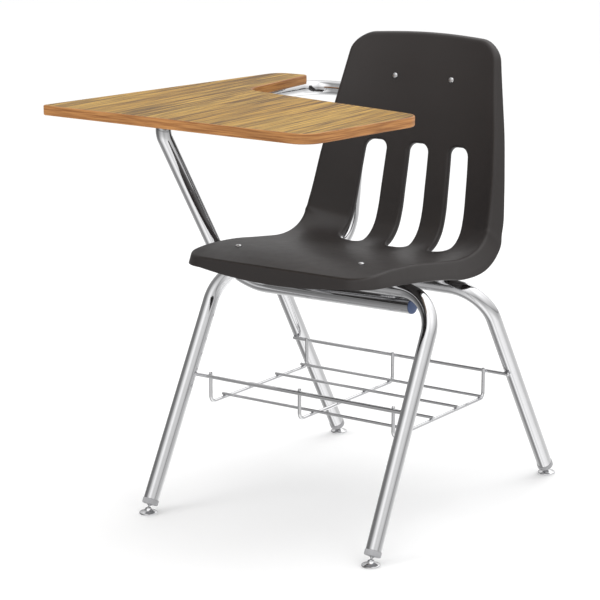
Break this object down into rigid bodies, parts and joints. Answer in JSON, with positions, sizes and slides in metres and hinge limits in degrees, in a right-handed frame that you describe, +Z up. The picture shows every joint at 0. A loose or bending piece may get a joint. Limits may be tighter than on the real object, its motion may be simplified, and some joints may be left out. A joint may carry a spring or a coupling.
{
  "type": "student desk chair",
  "caption": "One-piece plastic shell chair on bent chrome tube legs, with a fixed right-hand oak-grain tablet arm, a wire book rack under the seat and swivel glides.",
  "frame": {"origin": "centre of the base of the bounding box, on the floor", "axes": "+Z up, the sitter faces -Y, +X is the sitter's left hand; the tablet arm is on the -X side"},
  "size_m": [0.5798, 0.6838, 0.761],
  "materials": {
    "shell_plastic": "satin moulded polypropylene with a fine texture, near black",
    "chrome": "bright chrome plate on bent steel tube and wire",
    "oak_laminate": "satin laminate with a straight medium oak grain",
    "edge_band": "satin edge band, plain warm oak brown",
    "particleboard": "raw pressed board, inside the tablet",
    "backing_sheet": "matte dark brown backing sheet",
    "zinc_steel": "zinc plated",
    "glide_steel": "bright nickel plate",
    "glide_nylon": "satin moulded nylon, grey",
    "plug_plastic": "satin moulded plastic, dull blue",
    "rivet_metal": "bright nickel-plated domed head"
  },
  "bodies": {
    "chair": {"back_rivet_left": "rivet_metal", "back_rivet_right": "rivet_metal", "back_spacer_left": "glide_nylon", "back_spacer_right": "glide_nylon", "front_leg_frame": "chrome", "glide_insert_front_left": "glide_nylon", "glide_insert_front_right": "glide_nylon", "glide_insert_rear_left": "glide_nylon", "glide_insert_rear_right": "glide_nylon", "glide_stem_front_left": "glide_steel", "glide_stem_front_right": "glide_steel", "glide_stem_rear_left": "glide_steel", "glide_stem_rear_right": "glide_steel", "hoop_plug_left": "plug_plastic", "hoop_plug_right": "plug_plastic", "rack_cross_wire_left": "chrome", "rack_cross_wire_middle": "chrome", "rack_cross_wire_right": "chrome", "rack_floor_wire_1": "chrome", "rack_floor_wire_2": "chrome", "rack_floor_wire_3": "chrome", "rack_floor_wire_4": "chrome", "rack_front_rail": "chrome", "rack_rear_rail": "chrome", "rear_leg_frame": "chrome", "seat_back_hoop": "chrome", "seat_rivet_left": "rivet_metal", "seat_rivet_right": "rivet_metal", "seat_shell": "shell_plastic", "seat_spacer_left": "glide_nylon", "seat_spacer_right": "glide_nylon", "support_plug_front": "plug_plastic", "support_plug_rear": "plug_plastic", "tablet_backing_sheet": "backing_sheet", "tablet_core": "particleboard", "tablet_edge_band": "edge_band", "tablet_plate_front": "zinc_steel", "tablet_plate_rear": "zinc_steel", "tablet_screw_1": "zinc_steel", "tablet_screw_2": "zinc_steel", "tablet_screw_3": "zinc_steel", "tablet_screw_4": "zinc_steel", "tablet_screw_5": "zinc_steel", "tablet_screw_6": "zinc_steel", "tablet_screw_7": "zinc_steel", "tablet_screw_8": "zinc_steel", "tablet_support_tube": "chrome", "tablet_top_laminate": "oak_laminate"},
    "glide_foot_front_left": {"glide_base_front_left": "glide_steel"},
    "glide_foot_front_right": {"glide_base_front_right": "glide_steel"},
    "glide_foot_rear_left": {"glide_base_rear_left": "glide_steel"},
    "glide_foot_rear_right": {"glide_base_rear_right": "glide_steel"}
  },
  "joints": [
    {"name": "glide_tilt_front_left", "type": "hinge", "parent": "chair", "child": "glide_foot_front_left", "pos_m": [0.2749, -0.2383, 0.008], "axis": [1, 0, 0], "range_deg": [-30, 8]},
    {"name": "glide_tilt_front_right", "type": "hinge", "parent": "chair", "child": "glide_foot_front_right", "pos_m": [-0.1619, -0.2383, 0.008], "axis": [1, 0, 0], "range_deg": [-30, 8]},
    {"name": "glide_tilt_rear_left", "type": "hinge", "parent": "chair", "child": "glide_foot_rear_left", "pos_m": [0.2745, 0.3269, 0.008], "axis": [1, 0, 0], "range_deg": [-8, 34]},
    {"name": "glide_tilt_rear_right", "type": "hinge", "parent": "chair", "child": "glide_foot_rear_right", "pos_m": [-0.1615, 0.3269, 0.008], "axis": [1, 0, 0], "range_deg": [-8, 34]}
  ]
}
